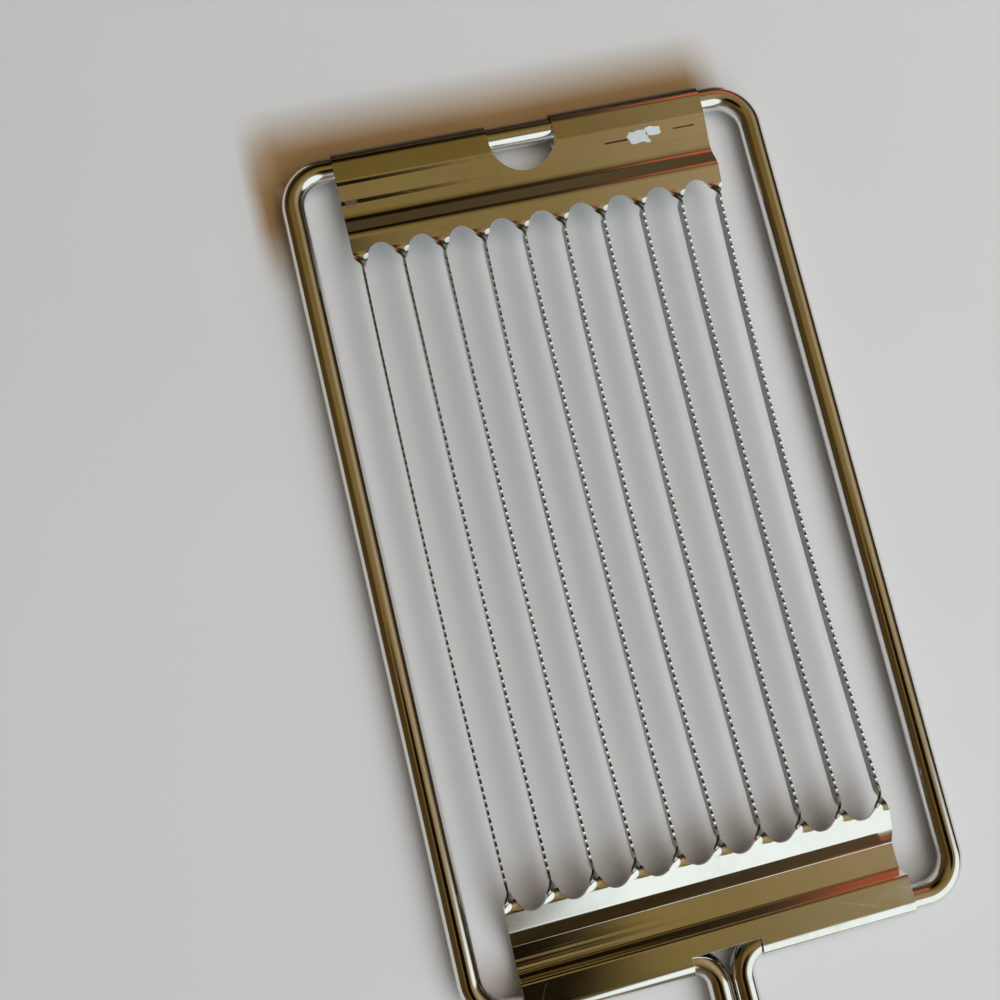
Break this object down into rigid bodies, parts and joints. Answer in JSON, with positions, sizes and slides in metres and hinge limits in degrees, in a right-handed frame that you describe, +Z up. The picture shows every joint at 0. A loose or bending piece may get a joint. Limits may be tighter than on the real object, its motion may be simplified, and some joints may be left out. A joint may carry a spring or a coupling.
{
  "type": "hand-held tomato slicer",
  "caption": "Flat hand-held tomato slicer: a bent wire frame and handle carrying a folded steel sheet whose toothed strips stand on edge as blades.",
  "frame": {"origin": "middle of the base: centred across and along the whole slicer, handle included, on the plane of the folded hems' undersides", "axes": "+X across to the right, +Y to the far end away from the handle, +Z up to the side that the teeth point to"},
  "size_m": [0.086, 0.2134, 0.0057],
  "materials": {
    "wire": "bright nickel or chrome plated steel wire, lightly scuffed",
    "sheet": "bright plated pressed steel sheet, fine scratches",
    "blade": "bright steel strip with cut teeth"
  },
  "bodies": {
    "root": {"frame_wire": "wire", "handle_wire": "wire", "near_plate": "sheet", "far_plate": "sheet", "blade_01": "blade", "blade_02": "blade", "blade_03": "blade", "blade_04": "blade", "blade_05": "blade", "blade_06": "blade", "blade_07": "blade", "blade_08": "blade", "blade_09": "blade", "blade_10": "blade"}
  },
  "joints": []
}
